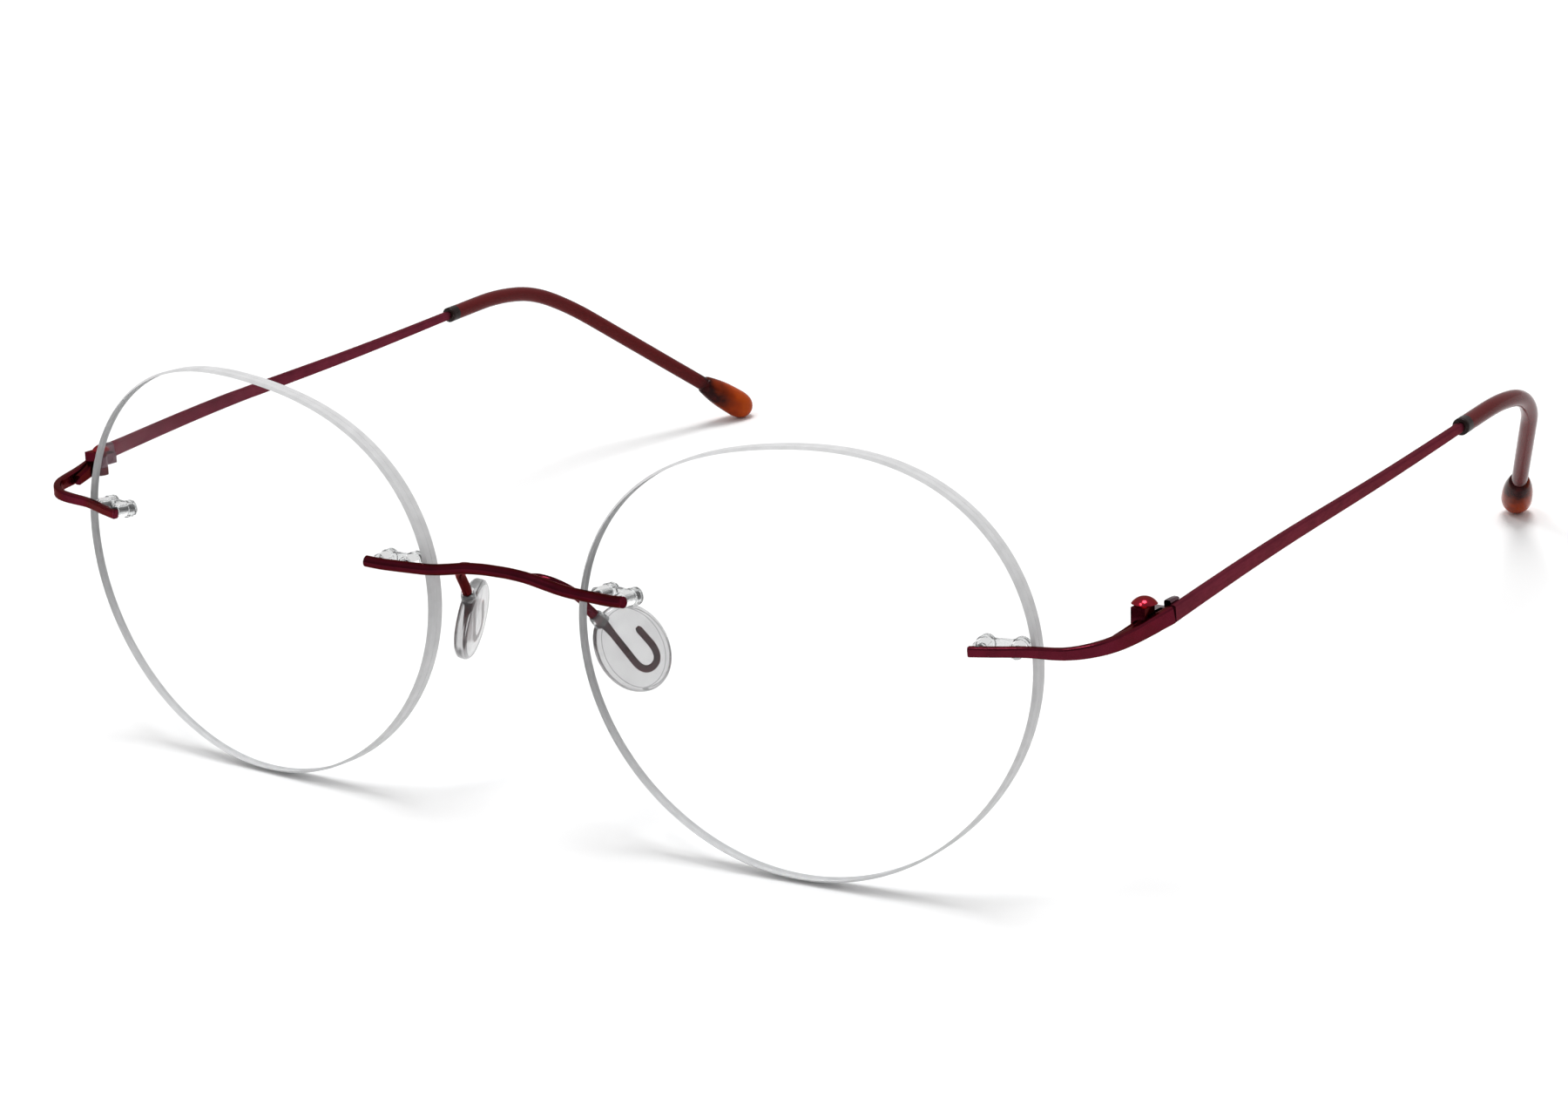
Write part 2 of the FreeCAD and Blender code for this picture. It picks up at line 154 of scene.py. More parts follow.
# Studio
DIM_SIDE = (0.585, -0.811, 0.0)          # towards the camera
WORLD_BRIGHT = 0.72
WORLD_DIM = 0.3
DIM_FROM = 0.1                           # cosine of the angle to that side where dimming starts
DIM_TO = 0.8
FLOOR_REACH = 20.0
OVERHEAD_PLACE = Vector((0.0, 0.15, 2.0))
OVERHEAD_SPREAD = math.radians(24.0)     # its apparent width
OVERHEAD_STRENGTH = 1.55
KEY_PLACE = Vector((-0.17, -0.35, 0.9))
KEY_AIM = Vector((0, 0, 0.02))
KEY_SIZE = (0.25, 0.15)
KEY_WATTS = 1.2


# ---- From the front's frame to the model's

fold = next(j for j in frame["joints"] if j["name"] == "temple_left_fold")
fold_axis = Vector(fold["axis"])
tip_back = Matrix.Rotation(-math.atan2(fold_axis.y, fold_axis.z), 3, "X")
rest_shift = Vector(fold["pos_m"]) / MM - tip_back @ HINGE


def place(point, side=1):
    """A point of the left side in the model's metres. side is -1 for its mirror image."""
    mirrored = Vector((point[0] * side, point[1], point[2]))
    return (tip_back @ mirrored + rest_shift) * MM


# ---- Mesh helpers

def mesh_data(name, mesh):
    """Blender mesh of a bmesh, which is freed."""
    data = bpy.data.meshes.new(name)
    mesh.to_mesh(data)
    mesh.free()
    return data


def add_object(name, data):
    made = bpy.data.objects.new(name, data)
    bpy.context.scene.collection.objects.link(made)
    return made


def smooth(data, crease):
    data.shade_smooth()
    data.set_sharp_from_angle(angle=crease)


def finished(name, mesh, materials, body, nodes, crease):
    """Object of a closed bmesh, smooth but for its creases, riding in place of its CAD nodes."""
    bmesh.ops.recalc_face_normals(mesh, faces=mesh.faces)
    data = mesh_data(name, mesh)
    for material in materials:
        data.materials.append(material)
    smooth(data, crease)
    made = add_object(name, data)
    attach(made, body)
    if nodes:
        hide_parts(*nodes)
    return made


def add_ring(mesh, points):
    return [mesh.verts.new(p) for p in points]


def join_rings(mesh, first, second, material=0):
    count = len(first)
    for i in range(count):
        j = (i + 1) % count
        face = mesh.faces.new((first[i], first[j], second[j], second[i]))
        face.material_index = material


def join_all(mesh, rings, material=0):
    for first, second in zip(rings, rings[1:]):
        join_rings(mesh, first, second, material)


def cap_ends(mesh, rings):
    mesh.faces.new(rings[0])
    mesh.faces.new(rings[-1])


def close_ring(mesh, ring, pole):
    """Fan from a ring to a point."""
    centre = mesh.verts.new(pole)
    count = len(ring)
    for i in range(count):
        mesh.faces.new((ring[i], ring[(i + 1) % count], centre))


def share_between(values, knots, t):
    return float(np.interp(t, knots, values))


def natural_spline(points, count):
    """Smooth curve through points, as count evenly spaced samples in chord length."""
    points = np.array(points, float)
    gaps = np.linalg.norm(np.diff(points, axis=0), axis=1)
    knots = np.concatenate(([0.0], np.cumsum(gaps)))
    n = len(points)
    system = np.eye(n)
    right = np.zeros_like(points)
    for i in range(1, n - 1):
        system[i, i - 1] = gaps[i - 1]
        system[i, i] = 2 * (gaps[i - 1] + gaps[i])
        system[i, i + 1] = gaps[i]
        rise = (points[i + 1] - points[i]) / gaps[i] - (points[i] - points[i - 1]) / gaps[i - 1]
        right[i] = 6 * rise
    bend = np.linalg.solve(system, right)
    samples = []
    for t in np.linspace(0, knots[-1], count):
        k = min(int(np.searchsorted(knots, t, side="right")) - 1, n - 2)
        gap = gaps[k]
        a = (knots[k + 1] - t) / gap
        b = (t - knots[k]) / gap
        curve = ((a ** 3 - a) * bend[k] + (b ** 3 - b) * bend[k + 1]) * gap ** 2 / 6
        samples.append(Vector(a * points[k] + b * points[k + 1] + curve))
    return samples


def bent_line(points, step):
    """Straight runs with an arc at each inner point, as samples about a step apart."""
    points = [Vector(p) for p in points]
    samples = [points[0]]
    for before, corner, after in zip(points, points[1:], points[2:]):
        inward = (before - corner).normalized()
        outward = (after - corner).normalized()
        trim = BEND_SHARE * min((before - corner).length, (after - corner).length)
        half_turn = (math.pi - inward.angle(outward)) / 2
        radius = trim / math.tan(half_turn)
        centre = corner + (inward + outward).normalized() * (radius / math.cos(half_turn))
        first = corner + inward * trim - centre
        normal = first.cross(corner + outward * trim - centre)
        add_run(samples, centre + first, step)
        turns = max(2, round(2 * half_turn * radius / step))
        for i in range(1, turns + 1):
            samples.append(centre + Matrix.Rotation(2 * half_turn * i / turns, 3, normal) @ first)
    add_run(samples, points[-1], step)
    return samples


def add_run(samples, end, step):
    start = samples[-1]
    count = max(1, round((end - start).length / step))
    for i in range(1, count + 1):
        samples.append(start.lerp(end, i / count))


def soften(path, passes):
    """Ease the change from straight to arc, with both ends left where they are."""
    for _ in range(passes):
        eased = [path[0]]
        for before, here, after in zip(path, path[1:], path[2:]):
            eased.append(here * 0.5 + (before + after) * 0.25)
        path = eased + [path[-1]]
    return path


def path_frames(path):
    """For each point: the point, a sideways direction and an upward one."""
    frames = []
    for i, here in enumerate(path):
        along = (path[min(i + 1, len(path) - 1)] - path[max(i - 1, 0)]).normalized()
        side = along.cross(Vector((0, 0, 1))).normalized()
        frames.append((here, side, side.cross(along)))
    return frames


def round_ring(centre, side, up, radius, turns, offset=0.0):
    """Circle of points. offset turns it by a share of the step between them."""
    ring = []
    for i in range(turns):
        a = 2 * math.pi * (i + offset) / turns
        ring.append(centre + side * (radius * math.cos(a)) + up * (radius * math.sin(a)))
    return ring


def flat_ring(centre, side, up, depth, height):
    """Section of the temple: a rectangle with round corners."""
    corner = TEMPLE_CORNER
    steps = TEMPLE_CORNER_STEPS
    ring = []
    for quarter, (sx, sy) in enumerate(((1, 1), (-1, 1), (-1, -1), (1, -1))):
        middle = Vector((sx * (depth / 2 - corner), sy * (height / 2 - corner)))
        for i in range(steps + 1):
            a = math.pi / 2 * (quarter + i / steps)
            x = middle.x + corner * math.cos(a)
            y = middle.y + corner * math.sin(a)
            ring.append(centre + side * x + up * y)
    return ring


# ---- Material helpers

def new_material(name, **sockets):
    """Principled material, its plain values set on the shader's own sockets."""
    made = bpy.data.materials.new(name)
    made.use_nodes = True
    shader = made.node_tree.nodes["Principled BSDF"]
    for socket, value in sockets.items():
        shader.inputs[socket.replace("_", " ")].default_value = value
    return made


def shader_of(material):
    return material.node_tree.nodes["Principled BSDF"]


def noise(material, scale, detail=4.0, stretch=(1, 1, 1)):
    """Noise in the model's metres, scale in features per metre."""
    nodes = material.node_tree.nodes
    links = material.node_tree.links
    spot = nodes.new("ShaderNodeTexCoord")
    mapping = nodes.new("ShaderNodeMapping")
    mapping.inputs["Scale"].default_value = stretch
    texture = nodes.new("ShaderNodeTexNoise")
    texture.inputs["Scale"].default_value = scale
    texture.inputs["Detail"].default_value = detail
    links.new(spot.outputs["Object"], mapping.inputs["Vector"])
    links.new(mapping.outputs["Vector"], texture.inputs["Vector"])
    return texture.outputs["Fac"]


def ramp_colour(material, source, stops):
    """Base colour through a ramp."""
    nodes = material.node_tree.nodes
    links = material.node_tree.links
    ramp = nodes.new("ShaderNodeValToRGB")
    elements = ramp.color_ramp.elements
    while len(elements) < len(stops):
        elements.new(0.5)
    for element, (position, colour) in zip(elements, stops):
        element.position = position
        element.color = (*colour, 1.0)
    links.new(source, ramp.inputs["Fac"])
    links.new(ramp.outputs["Color"], shader_of(material).inputs["Base Color"])


def vary_colour(material, source, dark, light):
    ramp_colour(material, source, ((NOISE_LOW, dark), (NOISE_HIGH, light)))


def map_range(tree, source, start, end, low, high):
    """Output that goes from low to high as the source goes from start to end."""
    spread = tree.nodes.new("ShaderNodeMapRange")
    spread.inputs["From Min"].default_value = start
    spread.inputs["From Max"].default_value = end
    spread.inputs["To Min"].default_value = low
    spread.inputs["To Max"].default_value = high
    tree.links.new(source, spread.inputs["Value"])
    return spread.outputs["Result"]


def vary_roughness(material, source, low, high):
    tree = material.node_tree
    rough = map_range(tree, source, NOISE_LOW, NOISE_HIGH, low, high)
    tree.links.new(rough, shader_of(material).inputs["Roughness"])


def add_bump(material, source, height, strength):
    """Bump of a height in millimetres."""
    bump = material.node_tree.nodes.new("ShaderNodeBump")
    bump.inputs["Strength"].default_value = strength
    bump.inputs["Distance"].default_value = height * MM
    material.node_tree.links.new(source, bump.inputs["Height"])
    material.node_tree.links.new(bump.outputs["Normal"], shader_of(material).inputs["Normal"])


def let_light_through(material):
    """Shadow rays pass straight through a clear piece and lose only a little."""
    nodes = material.node_tree.nodes
    links = material.node_tree.links
    rays = nodes.new("ShaderNodeLightPath")
    clear = nodes.new("ShaderNodeBsdfTransparent")
    clear.inputs["Color"].default_value = CLEAR_SHADOW
    mix = nodes.new("ShaderNodeMixShader")
    links.new(rays.outputs["Is Shadow Ray"], mix.inputs["Fac"])
    links.new(shader_of(material).outputs["BSDF"], mix.inputs[1])
    links.new(clear.outputs["BSDF"], mix.inputs[2])
    links.new(mix.outputs["Shader"], nodes["Material Output"].inputs["Surface"])


# ---- Materials

def make_lens_glass():
    """Coated, so that its faces reflect little: the index is lower than the bare glass's."""
    made = new_material("lens_glass", Transmission_Weight=1.0, IOR=1.18,
                        Specular_Tint=(0.25, 0.25, 0.25, 1))
    vary_colour(made, noise(made, 90.0, 5.0), (0.985, 0.99, 0.99), (1.0, 1.0, 1.0))
    vary_roughness(made, noise(made, 160.0, 6.0), 0.0, 0.02)
    let_light_through(made)
    return made


def make_ground_edge():
    """Edge of the lens, ground matt."""
    made = new_material("ground_edge", IOR=1.1, Specular_IOR_Level=0.2)
    vary_colour(made, noise(made, 700.0, 5.0), (0.57, 0.57, 0.575), (0.64, 0.64, 0.645))
    vary_roughness(made, noise(made, 2500.0), 0.5, 0.75)
    add_bump(made, noise(made, 9000.0), 0.02, 0.4)
    return made


def make_clear_plastic():
    made = new_material("clear_plastic", Transmission_Weight=0.97, IOR=1.49)
    vary_colour(made, noise(made, 500.0), (0.64, 0.65, 0.65), (0.8, 0.81, 0.81))
    vary_roughness(made, noise(made, 900.0), 0.01, 0.06)
    add_bump(made, noise(made, 1400.0, 2.0), 0.03, 0.25)
    let_light_through(made)
    return made


def make_silicone():
    made = new_material("pad_silicone", Transmission_Weight=0.93, IOR=1.42)
    vary_colour(made, noise(made, 350.0, 3.0), (0.55, 0.55, 0.555), (0.66, 0.66, 0.665))
    vary_roughness(made, noise(made, 800.0), 0.05, 0.18)
    add_bump(made, noise(made, 700.0, 2.0), 0.06, 0.3)
    let_light_through(made)
    return made


def make_wine_metal():
    """Dark wine plating, satin."""
    made = new_material("wine_metal", Metallic=1.0, Specular_Tint=PLATING_SHEEN, Coat_Weight=0.06,
                        Coat_Roughness=0.12)
    vary_colour(made, noise(made, 500.0, 6.0), (0.046, 0.0026, 0.0075), (0.066, 0.0036, 0.01))
    vary_roughness(made, noise(made, 2600.0, 4.0, (1, 0.3, 1)), 0.13, 0.22)
    add_bump(made, noise(made, 9000.0, 3.0), 0.004, 0.3)
    return made


def make_endpiece_lightened_metal():
    """The same plating on a flat, brushed face, painted lighter than the bar's to make up for the
    dim surroundings it reflects.
    """
    made = new_material("endpiece_lightened_metal", Metallic=1.0, Specular_Tint=PLATING_SHEEN,
                        Coat_Weight=0.12, Coat_Roughness=0.15)
    # lighter base than the bar's wine: painted light, not a different plating
    vary_colour(made, noise(made, 500.0, 6.0), (0.07, 0.0035, 0.011), (0.1, 0.005, 0.016))
    vary_roughness(made, noise(made, 2600.0, 4.0, (0.3, 1, 1)), 0.22, 0.34)
    add_bump(made, noise(made, 9000.0, 3.0, (0.3, 1, 1)), 0.005, 0.3)
    return made


def make_temple_metal():
    """The same wine, matt."""
    made = new_material("temple_metal", Metallic=0.85, Specular_Tint=(0.6, 0.3, 0.35, 1),
                        Coat_Weight=0.04, Coat_Roughness=0.4)
    vary_colour(made, noise(made, 400.0, 6.0), (0.095, 0.012, 0.024), (0.135, 0.018, 0.034))
    vary_roughness(made, noise(made, 3000.0, 4.0, (1, 0.25, 1)), 0.38, 0.55)
    add_bump(made, noise(made, 12000.0, 3.0, (1, 0.2, 1)), 0.006, 0.35)
    return made


def make_screw_metal():
    made = new_material("screw_red", Metallic=1.0, Specular_Tint=PLATING_SHEEN, Coat_Weight=0.25,
                        Coat_Roughness=0.06)
    vary_colour(made, noise(made, 900.0), (0.2, 0.004, 0.014), (0.3, 0.008, 0.022))
    vary_roughness(made, noise(made, 3000.0), 0.12, 0.2)
    add_bump(made, noise(made, 5000.0), 0.006, 0.3)
    return made


def make_steel(name, dark, light):
    made = new_material(name, Metallic=1.0)
    vary_colour(made, noise(made, 900.0), dark, light)
    vary_roughness(made, noise(made, 3000.0), 0.15, 0.3)
    add_bump(made, noise(made, 6000.0), 0.006, 0.3)
    return made


def make_tip_plastic():
    """Wine along the tube, dark at the shoulder and amber in the swollen end."""
    made = new_material("tip_plastic", Transmission_Weight=0.12, IOR=1.22, Specular_IOR_Level=0.2)
    tree = made.node_tree
    spot = tree.nodes.new("ShaderNodeTexCoord")
    split = tree.nodes.new("ShaderNodeSeparateXYZ")
    tree.links.new(spot.outputs["Object"], split.inputs["Vector"])
    end = place(HOOK_LINE[-1]).y
    along = map_range(tree, split.outputs["Y"], end - TINT_START * MM, end + TINT_END * MM, 0, 1)
    mottle = tree.nodes.new("ShaderNodeMath")
    mottle.operation = "MULTIPLY_ADD"
    mottle.inputs[1].default_value = TINT_MOTTLE
    tree.links.new(noise(made, 420.0, 3.0), mottle.inputs[0])
    tree.links.new(along, mottle.inputs[2])
    stops = ((0.15, (0.11, 0.012, 0.013)), (0.62, (0.095, 0.01, 0.011)),
             (0.72, (0.022, 0.005, 0.005)), (0.9, (0.28, 0.032, 0.004)), (1.0, (0.4, 0.055, 0.005)))
    ramp_colour(made, mottle.outputs["Value"], stops)
    vary_roughness(made, noise(made, 700.0), 0.06, 0.16)
    add_bump(made, noise(made, 900.0, 2.0), 0.008, 0.2)
    return made


def make_dark_ring():
    made = new_material("sleeve_mouth", Specular_IOR_Level=0.15)
    vary_colour(made, noise(made, 800.0), (0.008, 0.004, 0.004), (0.02, 0.009, 0.008))
    vary_roughness(made, noise(made, 1500.0), 0.25, 0.4)
    add_bump(made, noise(made, 4000.0), 0.01, 0.3)
    return made


lens_glass = make_lens_glass()
ground_edge = make_ground_edge()
clear_plastic = make_clear_plastic()
silicone = make_silicone()
wine_metal = make_wine_metal()
temple_metal = make_temple_metal()
screw_red = make_screw_metal()
pin_steel = make_steel("pin_steel", (0.05, 0.045, 0.048), (0.12, 0.11, 0.115))
leaf_steel = make_steel("leaf_steel", (0.075, 0.035, 0.045), (0.13, 0.07, 0.085))
endpiece_lightened_metal = make_endpiece_lightened_metal()
tip_plastic = make_tip_plastic()
dark_ring = make_dark_ring()


# ---- Lenses

def lens_radius(angle):
    oval = LENS_OVAL * math.cos(2 * (angle - LENS_OVAL_TURN))
    panto = LENS_PANTO * math.cos(3 * (angle - LENS_PANTO_TURN))
    return LENS_RADIUS * (1 + oval + panto)


def lens_y(u, w, ball):
    """Y of the sphere of a given radius about the lens's centre of curvature."""
    middle = math.sqrt(LENS_CURVE ** 2 - LENS_RADIUS ** 2)
    return middle - math.sqrt(ball ** 2 - u * u - w * w)


def from_lens(u, y, w, side):
    """Across, back and up of the left lens to the model's metres."""
    x = u * math.cos(LENS_WRAP) - y * math.sin(LENS_WRAP) + LENS_X
    return place((x, u * math.sin(LENS_WRAP) + y * math.cos(LENS_WRAP), w), side)


def lens_ring(inset, y_of, side):
    ring = []
    for i in range(LENS_TURNS):
        angle = 2 * math.pi * i / LENS_TURNS
        r = lens_radius(angle) - inset
        u = r * math.cos(angle)
        w = r * math.sin(angle)
        ring.append(from_lens(u, y_of(u, w), w, side))
    return ring


def lens_face(mesh, rim, ball, side):
    """Curved face from its rim to its middle."""
    outer = rim
    for k in range(LENS_RINGS - 1, 0, -1):
        ring = []
        for i in range(LENS_TURNS):
            angle = 2 * math.pi * i / LENS_TURNS
            r = (lens_radius(angle) - LENS_BEVEL) * k / LENS_RINGS
            u = r * math.cos(angle)
            w = r * math.sin(angle)
            ring.append(from_lens(u, lens_y(u, w, ball), w, side))
        inner = add_ring(mesh, ring)
        join_rings(mesh, outer, inner)
        outer = inner
    close_ring(mesh, outer, from_lens(0, lens_y(0, 0, ball), 0, side))


def lens_edge_rings(mesh, side):
    """Rings of the bevels and of the two facets between them, from front to back."""
    back = LENS_CURVE - LENS_THICK

    def front_y(u, w):
        return lens_y(u, w, LENS_CURVE)

    def back_y(u, w):
        return lens_y(u, w, back)

    def between(share, shift=0.0):
        return lambda u, w: front_y(u, w) * (1 - share) + back_y(u, w) * share + shift

    profile = ((LENS_BEVEL, front_y), (0.0, between(0.0, LENS_BEVEL)),
               (0.0, between(0.5, -GROOVE_HALF_WIDTH)), (EDGE_GROOVE, between(0.5)),
               (0.0, between(0.5, GROOVE_HALF_WIDTH)), (0.0, between(1.0, -LENS_BEVEL)),
               (LENS_BEVEL, back_y))
    return [add_ring(mesh, lens_ring(inset, y_of, side)) for inset, y_of in profile]


def drill(lens, side):
    """Four holes for the legs of the twin sleeves."""
    mesh = bmesh.new()
    for u, w, spacing in MOUNT_HOLES:
        for u_pin in (u - spacing / 2, u + spacing / 2):
            start = Vector((u_pin, lens_y(u_pin, w, LENS_CURVE), w))
            behind = math.sqrt(LENS_CURVE ** 2 - u_pin ** 2 - w ** 2)
            slope = Vector((-u_pin, behind, -w)).normalized()
            across = slope.cross(Vector((0, 0, 1))).normalized()
            up = across.cross(slope)
            rings = []
            for depth in (DRILL_FROM, DRILL_TO):
                ring = round_ring(start + slope * depth, across, up, HOLE_RADIUS, HOLE_TURNS)
                rings.append(add_ring(mesh, [from_lens(p.x, p.y, p.z, side) for p in ring]))
            join_all(mesh, rings)
            cap_ends(mesh, rings)
    bmesh.ops.recalc_face_normals(mesh, faces=mesh.faces)
    tool = add_object("drill", mesh_data("drill", mesh))
    cut = lens.modifiers.new("holes", "BOOLEAN")
    cut.object = tool
    cut.solver = "EXACT"
    shape = lens.evaluated_get(bpy.context.evaluated_depsgraph_get())
    drilled = bpy.data.meshes.new_from_object(shape)
    lens.modifiers.clear()
    lens.data = drilled
    smooth(drilled, LENS_CREASE)
    bpy.data.objects.remove(tool)


def make_lens(name, side):
    mesh = bmesh.new()
    rings = lens_edge_rings(mesh, side)
    join_all(mesh, rings, material=1)
    lens_face(mesh, rings[0], LENS_CURVE, side)
    lens_face(mesh, rings[-1], LENS_CURVE - LENS_THICK, side)
    lens = finished("clear_lens_" + name, mesh, (lens_glass, ground_edge), "front",
                    ("lens_" + name,), LENS_CREASE)
    drill(lens, side)


# ---- Nose pads

def pad_axes():
    """Away from the nose, along the pad and across it."""
    outward = PAD_OUTWARD.normalized()
    level = Vector((0, 0, 1)).cross(outward).normalized()
    down = outward.cross(level).normalized()
    if down.z > 0:
        down = -down
    along = down * math.cos(PAD_TURN) + level * math.sin(PAD_TURN)
    return outward, along, outward.cross(along)


def pad_ring(inset, height, side):
    outward, along, across = pad_axes()
    ring = []
    for i in range(PAD_RING_POINTS):
        a = 2 * math.pi * i / PAD_RING_POINTS
        x = (PAD_LENGTH / 2 - inset) * math.cos(a)
        y = (PAD_WIDTH / 2 - inset) * math.sin(a)
        ring.append(place(PAD_CENTRE + along * x + across * y + outward * height, side))
    return ring


def pad_profile():
    """Inset and height of each ring, from the middle of one face round the rim to the other."""
    flat = PAD_THICK / 2 - PAD_CROWN
    half = []
    for share in PAD_FACE_RINGS:
        inset = PAD_WIDTH / 2 * (1 - share)
        half.append((inset, flat + PAD_CROWN * (1 - share * share)))
    for i in range(PAD_ROUND_STEPS + 1):
        a = math.pi / 2 * i / PAD_ROUND_STEPS
        half.append((PAD_ROUND * (1 - math.sin(a)), flat - PAD_ROUND * (1 - math.cos(a))))
    return half + [(inset, -height) for inset, height in reversed(half)]


def make_pad(name, side):
    outward = pad_axes()[0]
    mesh = bmesh.new()
    rings = [add_ring(mesh, pad_ring(inset, height, side)) for inset, height in pad_profile()]
    join_all(mesh, rings)
    for ring, height in ((rings[0], PAD_THICK / 2), (rings[-1], -PAD_THICK / 2)):
        close_ring(mesh, ring, place(PAD_CENTRE + outward * height, side))
    pad = finished("silicone_pad_" + name, mesh, (silicone,), "front",
                   ("nose_pad_" + name,), PAD_CREASE)


def arm_points():
    """Corners of the wire's line. The one at len(ARM_LINE) is where it enters the pad."""
    along, across = pad_axes()[1:]
    in_pad = [PAD_CENTRE + along * a + across * b for a, b in ARM_IN_PAD]
    return [Vector(p) for p in ARM_LINE] + in_pad


def make_arm(name, side):
    """Round wire that forks off the back of the bridge and ends in a hook inside the pad."""
    points = arm_points()
    path = soften(bent_line(points, ARM_STEP), ARM_EASING)
    foot = points[len(ARM_LINE)]
    entry = min(range(len(path)), key=lambda i: (path[i] - foot).length)
    reach = [0.0]
    for here, after in zip(path, path[1:]):
        reach.append(reach[-1] + (after - here).length)
    knots = (0.0, ARM_TAPER, reach[entry] + ARM_FOOT_START, reach[entry] + ARM_FOOT_END,
             reach[-1] - ARM_END_TAPER, reach[-1])
    radii = (ARM_START_RADIUS, ARM_RADIUS, ARM_RADIUS, ARM_FOOT_RADIUS, ARM_FOOT_RADIUS,
             ARM_FOOT_RADIUS * ARM_END_SHARE)
    mesh = bmesh.new()
    rings = []
    for (here, across, up), run in zip(path_frames(path), reach):
        ring = round_ring(here, across, up, share_between(radii, knots, run), ARM_TURNS)
        rings.append(add_ring(mesh, [place(p, side) for p in ring]))
    join_all(mesh, rings)
    cap_ends(mesh, rings)
    finished("pad_wire_" + name, mesh, (wine_metal,), "front",
             ("pad_arm_" + name,), ARM_CREASE)


def make_collar(name, side):
    """Short tapered neck where the arm enters the pad."""
    outward = pad_axes()[0]
    points = arm_points()
    foot = points[len(ARM_LINE)]
    out = (points[len(ARM_LINE) - 1] - foot).normalized()
    across_neck = out.cross(outward).normalized()
    up_neck = out.cross(across_neck)
    mesh = bmesh.new()
    rings = []
    for reach, radius in COLLAR_PROFILE:
        ring = round_ring(foot + out * reach, across_neck, up_neck, radius, COLLAR_TURNS)
        rings.append(add_ring(mesh, [place(p, side) for p in ring]))
    join_all(mesh, rings + rings[:1])
    finished("pad_collar_" + name, mesh, (clear_plastic,), "front", (),
             COLLAR_CREASE)


# ---- Temples and tips

def hook_path():
    """Middle of the core, and of the sleeve over it."""
    return soften(bent_line(HOOK_LINE, HOOK_STEP), HOOK_EASING)


def make_temple(name, side):
    """Flat strip to the ear, then a round core inside the tip."""
    strip = natural_spline(TEMPLE_LINE, TEMPLE_SECTIONS)
    ends = [p[1] for p in TEMPLE_LINE]
    mesh = bmesh.new()
    rings = []
    for here, across, up in path_frames(strip):
        depth = share_between(TEMPLE_DEPTHS, ends, here.y)
        height = share_between(TEMPLE_HEIGHTS, ends, here.y)
        ring = flat_ring(here, across, up, depth, height)
        rings.append(add_ring(mesh, [place(p, side) for p in ring]))
    for here, across, up in path_frames(hook_path()):
        ring = round_ring(here, across, up, CORE_RADIUS, len(rings[0]), offset=0.5)
        rings.append(add_ring(mesh, [place(p, side) for p in ring]))
    join_all(mesh, rings)
    cap_ends(mesh, rings)
    finished("temple_strip_" + name, mesh, (temple_metal,), "temple_arm_" + name,
             ("temple_" + name,), TEMPLE_CREASE)


def make_tip(name, side):
    """Tube over the core, ending in a swollen tip with a blind bore."""
    frames = path_frames(hook_path())
    end, across, up = frames[-1]
    along = (Vector(HOOK_LINE[-1]) - Vector(HOOK_LINE[-2])).normalized()
    outer = []
    for here, s, u in frames:
        if (here - end).dot(along) < BULB_START - BULB_GAP:
            outer.append((here, s, u, TIP_RADIUS))
    for share, radius in BULB_PROFILE:
        outer.append((end + along * (BULB_START + share * BULB_LENGTH), across, up, radius))
    inner = [(here, s, u, TIP_BORE) for here, s, u in frames]
    inner.append((end + along * BULB_BORE, across, up, TIP_BORE))
    mouth, s, u = frames[0]
    lip = (mouth, s, u, TIP_RADIUS - LIP_INSET)
    outer[0] = (mouth + (outer[1][0] - mouth) * LIP_LENGTH, s, u, TIP_RADIUS)
    mesh = bmesh.new()
    rings = []
    steps = inner[::-1] + [lip] + outer
    for here, s, u, radius in steps:
        ring = round_ring(here, s, u, radius, TIP_TURNS)
        rings.append(add_ring(mesh, [place(p, side) for p in ring]))
    for one, two, step in zip(rings, rings[1:], steps):
        in_mouth = (step[0] - mouth).length < RING_LENGTH
        join_rings(mesh, one, two, 1 if in_mouth else 0)
    close_ring(mesh, rings[0], place(end + along * BULB_BORE, side))
    close_ring(mesh, rings[-1], place(end + along * (BULB_START + BULB_LENGTH), side))
    finished("tip_sleeve_" + name, mesh, (tip_plastic, dark_ring), "temple_arm_" + name,
             ("temple_tip_" + name,), TIP_CREASE)


# ---- Finishes of the CAD nodes that stay

NODE_FINISHES = {
    "bridge_bar": wine_metal,
    "bridge_pins": pin_steel,
    "nasal_sleeve": clear_plastic,
    "temporal_sleeve": clear_plastic,
    "endpiece": endpiece_lightened_metal,
    "endpiece_pins": pin_steel,
    "hinge_front_leaf": wine_metal,
    "hinge_temple_leaf": leaf_steel,
    "hinge_screw": screw_red,
}


def finish_nodes():
    for name, node in frame["nodes"].items():
        kind = name.removesuffix("_left").removesuffix("_right")
        if kind in NODE_FINISHES:
            for material_slot in node.material_slots:
                material_slot.material = NODE_FINISHES[kind]


# ---- Floor, light and camera

def make_floor():
    mesh = bmesh.new()
    turns = ((-1, -1), (1, -1), (1, 1), (-1, 1))
    corners = [mesh.verts.new((x * FLOOR_REACH, y * FLOOR_REACH, 0.0)) for x, y in turns]
    mesh.faces.new(corners)
    floor = add_object("floor", mesh_data("floor", mesh))
    paper = new_material("floor_white", Roughness=0.9, Base_Color=(0.93, 0.93, 0.93, 1),
                         Specular_IOR_Level=0.1)
    floor.data.materials.append(paper)


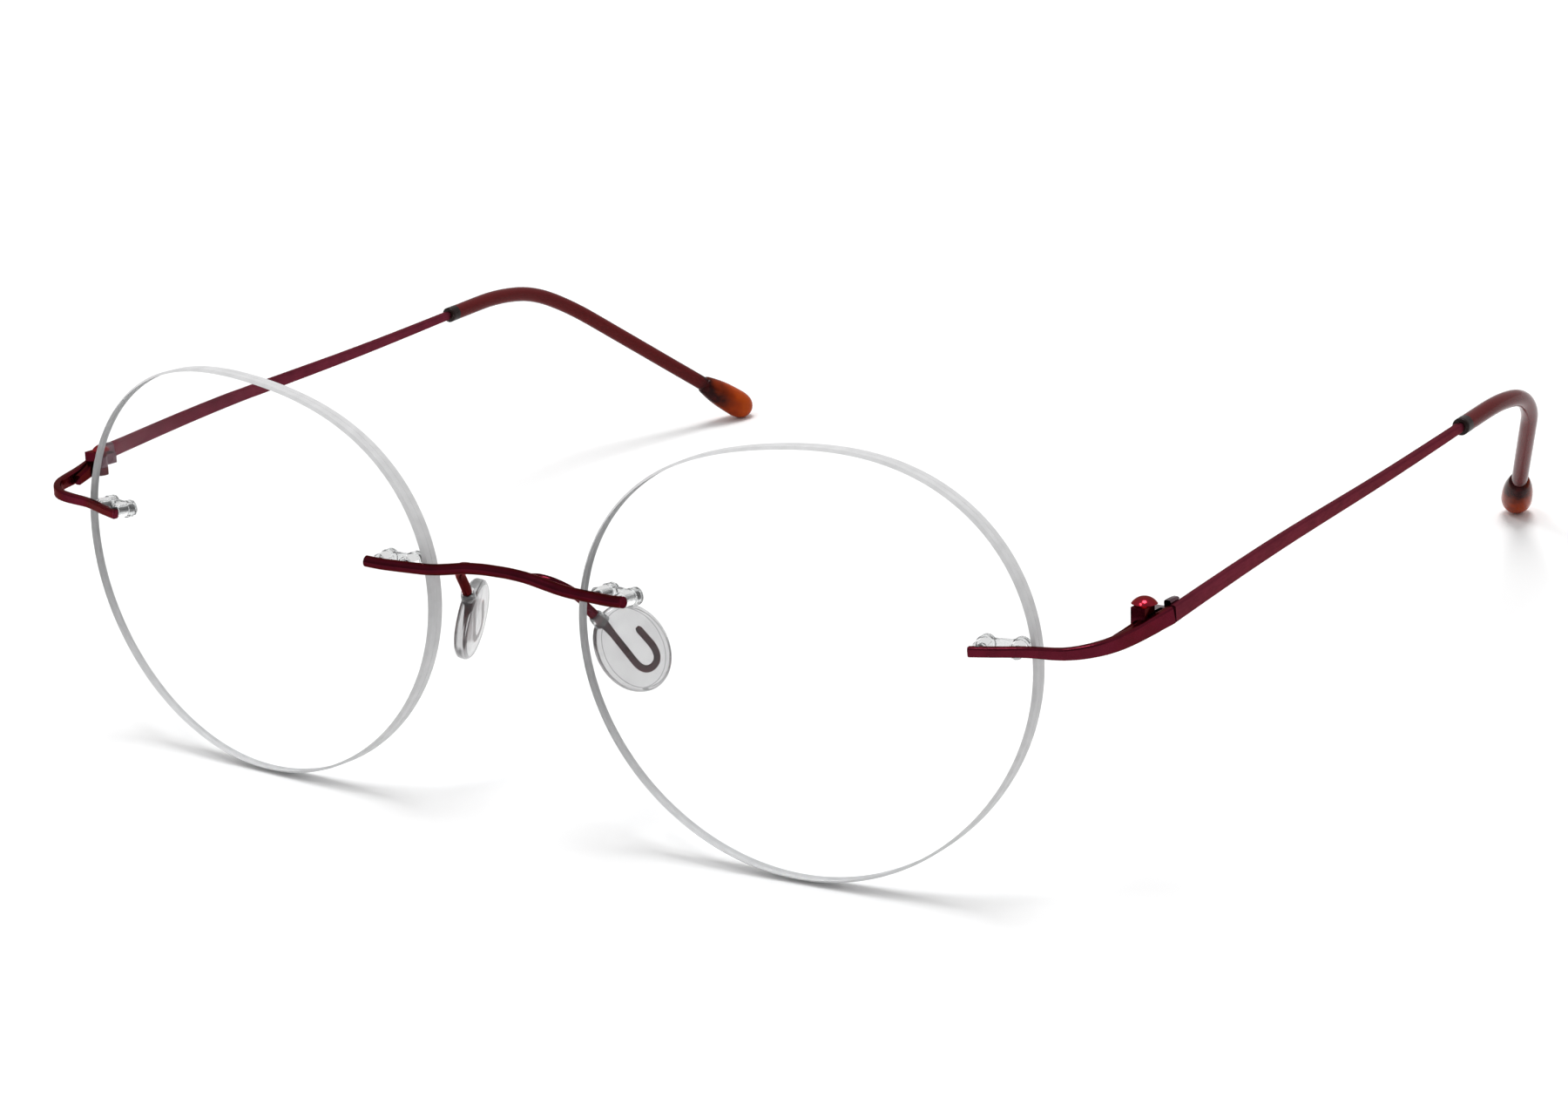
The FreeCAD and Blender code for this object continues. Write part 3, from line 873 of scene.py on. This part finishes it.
def make_key_light():
    """Small lamp whose reflections show as highlights on the metal."""
    data = bpy.data.lights.new("key_strip", "AREA")
    data.shape = "RECTANGLE"
    data.size, data.size_y = KEY_SIZE
    data.energy = KEY_WATTS
    lamp = add_object("key_strip", data)
    lamp.location = KEY_PLACE
    lamp.rotation_euler = (KEY_AIM - KEY_PLACE).to_track_quat("-Z", "Y").to_euler()


def make_overhead():
    """Broad, even light from above."""
    data = bpy.data.lights.new("overhead", "SUN")
    data.angle = OVERHEAD_SPREAD
    data.energy = OVERHEAD_STRENGTH
    lamp = add_object("overhead", data)
    lamp.location = OVERHEAD_PLACE
    lamp.rotation_euler = OVERHEAD_PLACE.to_track_quat("Z", "Y").to_euler()


def make_world():
    """White all round, dimmer from the side the camera stands on."""
    world = bpy.data.worlds.new("studio")
    world.use_nodes = True
    tree = world.node_tree
    spot = tree.nodes.new("ShaderNodeTexCoord")
    facing = tree.nodes.new("ShaderNodeVectorMath")
    facing.operation = "DOT_PRODUCT"
    facing.inputs[1].default_value = DIM_SIDE
    tree.links.new(spot.outputs["Generated"], facing.inputs[0])
    dimmed = map_range(tree, facing.outputs["Value"], DIM_FROM, DIM_TO, WORLD_BRIGHT, WORLD_DIM)
    background = tree.nodes["Background"]
    background.inputs["Color"].default_value = (1, 1, 1, 1)
    tree.links.new(dimmed, background.inputs["Strength"])
    bpy.context.scene.world = world


def make_studio():
    make_world()
    make_overhead()
    make_key_light()
    bpy.context.scene.view_settings.view_transform = "Standard"


def make_camera():
    data = bpy.data.cameras.new("camera")
    data.sensor_width = 36.0
    data.lens = CAMERA_LENS
    data.clip_start = 0.01
    camera = add_object("camera", data)
    behind = -CAMERA_AHEAD.normalized()
    above = behind.cross(CAMERA_RIGHT).normalized()
    across = above.cross(behind)
    turn = Matrix((across, above, behind)).transposed().to_4x4()
    camera.matrix_world = Matrix.Translation(CAMERA_PLACE) @ turn
    bpy.context.scene.camera = camera


for name, side in (("left", 1), ("right", -1)):
    make_lens(name, side)
    make_pad(name, side)
    make_arm(name, side)
    make_collar(name, side)
    make_temple(name, side)
    make_tip(name, side)
finish_nodes()
make_floor()
make_studio()
make_camera()
